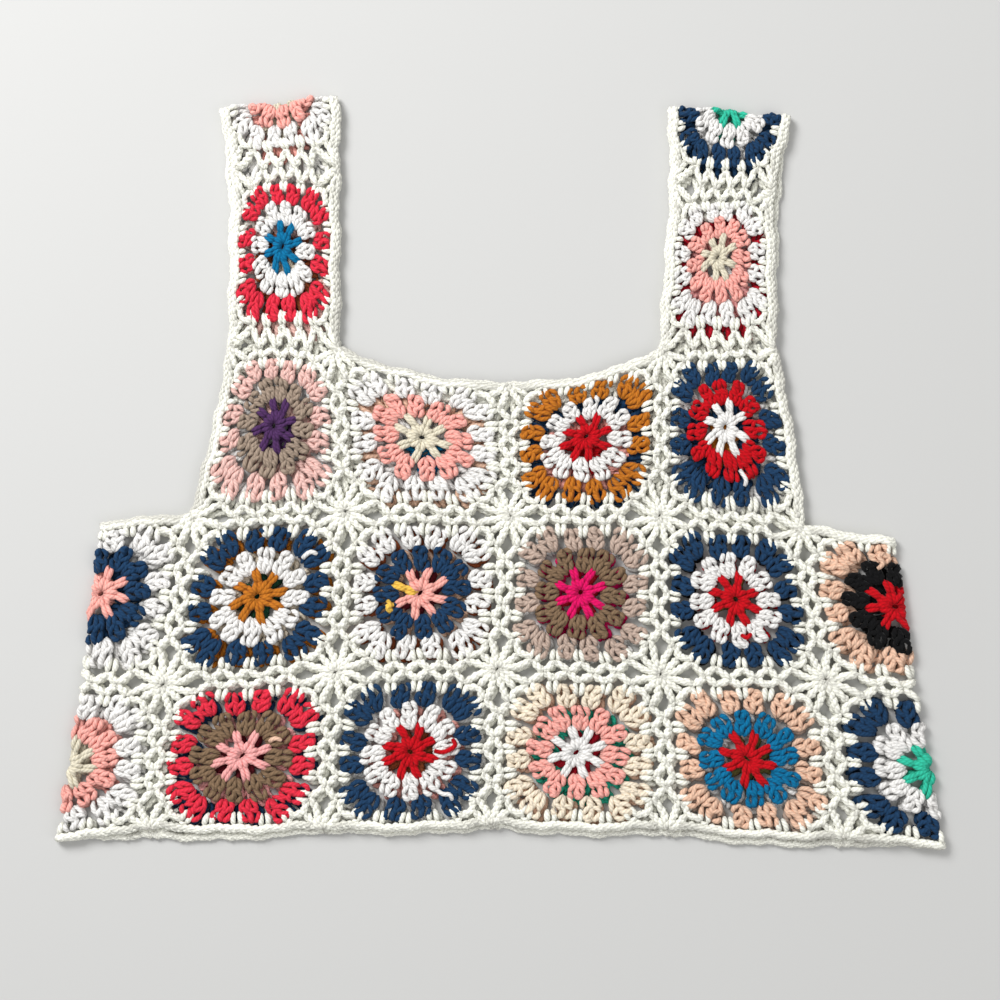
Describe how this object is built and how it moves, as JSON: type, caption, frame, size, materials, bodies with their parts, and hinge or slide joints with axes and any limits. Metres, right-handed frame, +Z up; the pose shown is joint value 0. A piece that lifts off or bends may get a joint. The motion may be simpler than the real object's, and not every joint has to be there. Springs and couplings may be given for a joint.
{
  "type": "crochet top",
  "caption": "Sleeveless cropped top of joined crocheted granny squares in many colours with cream edging, laid out flat.",
  "frame": {"origin": "middle of the underside of the whole garment, on the surface it lies on", "axes": "+X to the right as the front faces the viewer, +Y from the hem to the neck, +Z up out of the front"},
  "size_m": [0.5438, 0.464, 0.0075],
  "materials": {
    "yarn_black": "black worsted yarn",
    "yarn_coral_red": "coral red worsted yarn",
    "yarn_cream": "cream worsted yarn",
    "yarn_cream_yellow": "pale cream yellow worsted yarn",
    "yarn_crimson": "crimson worsted yarn",
    "yarn_dusty_pink": "dusty pink worsted yarn",
    "yarn_mustard": "mustard worsted yarn",
    "yarn_navy": "navy worsted yarn",
    "yarn_rose_taupe": "pinkish taupe worsted yarn",
    "yarn_rust": "rust brown worsted yarn",
    "yarn_tan": "peachy tan worsted yarn",
    "yarn_white": "white worsted yarn"
  },
  "bodies": {
    "root": {"armhole_edging_left": "yarn_cream", "armhole_edging_right": "yarn_cream", "back_chest_1": "yarn_white", "back_chest_2": "yarn_tan", "back_chest_3": "yarn_navy", "back_chest_4": "yarn_white", "back_hem_1": "yarn_navy", "back_hem_2": "yarn_white", "back_hem_3": "yarn_tan", "back_hem_4": "yarn_rose_taupe", "back_waist_1": "yarn_mustard", "back_waist_2": "yarn_rust", "back_waist_3": "yarn_white", "back_waist_4": "yarn_black", "front_chest_1": "yarn_dusty_pink", "front_chest_2": "yarn_white", "front_chest_3": "yarn_mustard", "front_chest_4": "yarn_navy", "front_hem_1": "yarn_coral_red", "front_hem_2": "yarn_navy", "front_hem_3": "yarn_cream_yellow", "front_hem_4": "yarn_tan", "front_waist_1": "yarn_navy", "front_waist_2": "yarn_white", "front_waist_3": "yarn_rose_taupe", "front_waist_4": "yarn_navy", "hem_edging": "yarn_cream", "neck_edging": "yarn_cream", "side_left_hem": "yarn_white", "side_left_waist": "yarn_white", "side_right_hem": "yarn_white", "side_right_waist": "yarn_tan", "strap_left_back": "yarn_dusty_pink", "strap_left_front": "yarn_coral_red", "strap_left_shoulder": "yarn_white", "strap_right_back": "yarn_crimson", "strap_right_front": "yarn_white", "strap_right_shoulder": "yarn_navy"}
  },
  "joints": []
}
